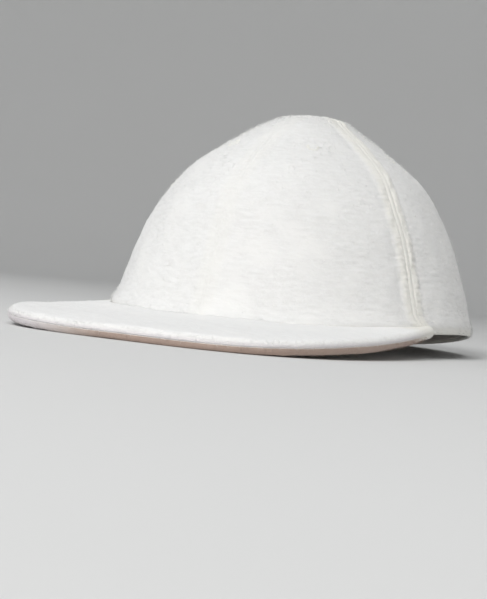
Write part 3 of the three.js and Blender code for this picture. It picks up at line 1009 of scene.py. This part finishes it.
def sweatband():
    angles = np.linspace(0, 2 * math.pi, BAND_COLUMNS, endpoint=False)
    up = np.linspace(0, 1, BAND_STEPS)
    turn = np.linspace(0, math.pi, FOLD_ROWS)[1:-1]
    bulge = FOLD_BULGE * np.sin(turn)
    half = BAND_WALL / 2
    loop_at = np.concatenate([up, 1 + bulge, up[::-1], -bulge])
    loop_in = np.concatenate([0 * up, half * (1 - np.cos(turn)), BAND_WALL + 0 * up,
                              half * (1 + np.cos(turn))])
    at = BAND_FROM + (BAND_TO - BAND_FROM) * loop_at
    angle, place = np.meshgrid(angles, at, indexing="ij")
    base = round_point(angle, place)
    run = angle * BAND_RADIUS
    inner = loop_in > half
    beat = BAND_ROW_EVENNESS + (1 - BAND_ROW_EVENNESS) * np.cos(run * BAND_STITCH_TURN)
    drawn_in = BAND_ROW_DEPTH * swell(loop_at, BAND_ROW, BAND_ROW_HALF) * inner * beat
    fold = BAND_WAVE * ripple(base, BAND_WAVE_SIZES, BAND_SEED) * inner
    inset = wall_at(place) + BAND_GAP + loop_in - fold + drawn_in
    points = base - outward(angle, place) * inset[..., None]
    sheet = np.stack([run, place * BAND_SECTION], -1)
    faces = grid_faces(*angle.shape, ring=True, closed=True)
    piece = make_piece("sweatband_cloth", points.reshape(-1, 3), [faces], sheet.reshape(-1, 2))
    dress(piece, band_cloth, "band_cloth", "sweatband")


sweatband()


# Nap: loose wool fibres standing off the crown and off the peak's edge

CROWN_FIBRES = 13000
TOP_EDGE_FIBRES = 2200
UNDER_EDGE_FIBRES = 2500
TOP_EDGE_TURN = (5, 50)  # degrees up from the middle of the edge
UNDER_EDGE_TURN = (-90, -10)
NAPPED_SHARES = (0.03, 0.97)  # of the length of the peak's edge
NAPPED_PLACES = (0.15, LAST - 0.2)
FIBRE_LENGTH = (0.8, 2.6)
FIBRE_CUT = (0.5, 1)  # share of its length that a fibre keeps
FIBRE_LIFT = (0.1, 0.9)
FIBRE_DROOP = 0.5
FIBRE_BEND_AT = 0.55  # of a fibre's length
FIBRE_ARCH = 0.2
FIBRE_ROOT = 0.25
FIBRE_RADIUS = 0.07
FIBRE_PROFILE = np.array([1.0, 0.8, 0.25])
FIBRE_SIDES = 3
APEX_CROWDING = 1.5
LEAST_DRAW = 0.0002
CROWN_NAP_SEED = 3


def fibres(name, base, normal, rng, material, slot, marks=None):
    """One piece of bent fibres that stand off the cloth at the given points."""
    count = len(base)
    along = unit(np.cross(normal, rng.normal(size=(count, 3))))
    lift = rng.uniform(*FIBRE_LIFT, (count, 1))
    length = rng.uniform(*FIBRE_LENGTH, (count, 1)) * rng.uniform(*FIBRE_CUT, (count, 1))
    root = base - normal * FIBRE_ROOT
    middle = root + unit(along + normal * lift) * length * FIBRE_BEND_AT + normal * FIBRE_ARCH
    end = middle + unit(along + normal * (lift - FIBRE_DROOP)) * length * (1 - FIBRE_BEND_AT)
    lines = np.stack([root, middle, end], 1)
    points, faces = tubes(lines, FIBRE_RADIUS * FIBRE_PROFILE, FIBRE_SIDES)
    each = len(points) // count
    marks = {mark: np.repeat(values, each) for mark, values in (marks or {}).items()}
    piece = make_piece(name, points, faces, 0 * points[:, :2], marks)
    dress(piece, material, slot)


def crown_nap():
    rng = np.random.default_rng(SEED + CROWN_NAP_SEED)
    angle = rng.uniform(0, 2 * math.pi, CROWN_FIBRES)
    place = LAST * (1 - np.sqrt(rng.uniform(LEAST_DRAW, 1, CROWN_FIBRES) ** APEX_CROWDING))
    place = np.clip(place, *NAPPED_PLACES)
    fibres("nap_fibres", round_point(angle, place), outward(angle, place), rng, wool_cloth, "wool_cloth")


def edge_nap(name, count, turns, material, slot, seed):
    """Fibres along the peak's edge, which is taken as half an ellipse."""
    rng = np.random.default_rng(SEED + seed)
    half = (TOP_THICKNESS + UNDER_THICKNESS) / 2
    direction, distance = edge_line([0, 2 * half], rng.uniform(*NAPPED_SHARES, count))
    turn = np.radians(rng.uniform(*turns, count))
    out = distance - TOP_ROUND * (1 - np.cos(turn))
    x, y = out * np.sin(direction), PEAK_CENTRE - out * np.cos(direction)
    base = np.stack([x, y, peak_height(x, y) - half + half * np.sin(turn)], -1)
    level = np.cos(turn)
    normal = np.stack([level * np.sin(direction), -level * np.cos(direction), np.sin(turn)], -1)
    # Fibres under the peak carry the painted shade of the underside's edge.
    greys = side_grey(x)
    marks = {"edge": greys, "painted_warm_shade": 1 - greys} if material == under_cloth else None
    fibres(name, base, normal, rng, material, slot, marks)


crown_nap()
edge_nap("peak_top_fibres", TOP_EDGE_FIBRES, TOP_EDGE_TURN, wool_cloth, "wool_cloth", 4)
edge_nap("peak_under_fibres", UNDER_EDGE_FIBRES, UNDER_EDGE_TURN, under_cloth, "under_cloth", 5)


# Studio, in metres: a pale floor that curves up into a wall all round, and soft light

COVE_RADIUS = 2.6
COVE_BEND = 1.0
COVE_HEIGHT = 2.4
COVE_RINGS = (0.001, 0.3, 0.8)
COVE_STEPS = 17
COVE_SIDES = 96
FLOOR_BELOW = 0.0001
FLOOR_PALE = (0.72, 0.72, 0.715, 1)
FLOOR_GREY = (0.70, 0.70, 0.69, 1)
FLOOR_SCALE = 3
SKY = (0.95, 0.97, 1.0, 1)
SKY_STRENGTH = 0.255
MIDDLE = (0, 0, 0.05)
LOW_MIDDLE = (0, 0, 0.02)
LIGHTS = [  # name, place, target, size, watts, colour, spread in degrees
    ("key", (-0.23, -1.5, 1.48), MIDDLE, 0.9, 22.9, (0.993, 0.997, 1.0), 180),
    ("side", (-1.7, -0.1, 0.8), MIDDLE, 1.2, 3.0, (0.975, 0.985, 1.0), 180),
    ("top", (0.6, -0.7, 2.1), MIDDLE, 1.2, 11.4, (1.0, 1.0, 1.0), 180),
    ("fill", (1.6, -0.75, 0.8), MIDDLE, 1.4, 0.3, (1.0, 0.99, 0.97), 180),
    ("low", (0.85, -1.45, 0.06), LOW_MIDDLE, 0.11, 0.03, (1.0, 0.90, 0.80), 24),
]


def cove():
    inner = COVE_RADIUS - COVE_BEND
    flat = [(r, 0) for r in (*COVE_RINGS, inner)]
    bend = [(inner + COVE_BEND * math.sin(a), COVE_BEND * (1 - math.cos(a)))
            for a in np.linspace(0, math.pi / 2, COVE_STEPS)[1:]]
    profile = np.array(flat + bend + [(COVE_RADIUS, COVE_HEIGHT)])
    turns = np.linspace(0, 2 * math.pi, COVE_SIDES, endpoint=False)
    out, high = profile[:, 0], profile[:, 1] - FLOOR_BELOW
    points = np.stack([np.outer(out, np.cos(turns)), np.outer(out, np.sin(turns)),
                       np.repeat(high[:, None], COVE_SIDES, 1)], -1).reshape(-1, 3)
    faces = grid_faces(len(profile), COVE_SIDES, ring=True).tolist()
    faces.append(tuple(range(COVE_SIDES))[::-1])
    mesh = bpy.data.meshes.new("cove")
    mesh.from_pydata(points.tolist(), [], faces)
    mesh.polygons.foreach_set("use_smooth", [True] * len(mesh.polygons))
    floor = bpy.data.objects.new("cove", mesh)
    bpy.context.scene.collection.objects.link(floor)
    material, tree, shader = new_material("pale_floor", roughness=0.9, sheen=0.0)
    place = add_node(tree, "ShaderNodeTexCoord").outputs["Object"]
    colour = mix(tree, noise(tree, place, FLOOR_SCALE, detail=2), FLOOR_GREY, FLOOR_PALE)
    tree.links.new(colour, shader.inputs["Base Color"])
    mesh.materials.append(material)


def area_light(name, place, target, size, watts, colour, spread_deg):
    data = bpy.data.lights.new(name, "AREA")
    data.shape = "DISK"
    data.size = size
    data.energy = watts
    data.color = colour
    data.spread = math.radians(spread_deg)
    light = bpy.data.objects.new(name, data)
    bpy.context.scene.collection.objects.link(light)
    light.location = place
    light.visible_camera = False
    light.rotation_euler = (Vector(target) - Vector(place)).to_track_quat("-Z", "Y").to_euler()


def studio():
    cove()
    bpy.context.scene.view_settings.view_transform = "Standard"
    world = bpy.data.worlds.new("studio")
    bpy.context.scene.world = world
    world.use_nodes = True
    background = world.node_tree.nodes["Background"]
    background.inputs["Color"].default_value = SKY
    background.inputs["Strength"].default_value = SKY_STRENGTH
    for light in LIGHTS:
        area_light(*light)


studio()
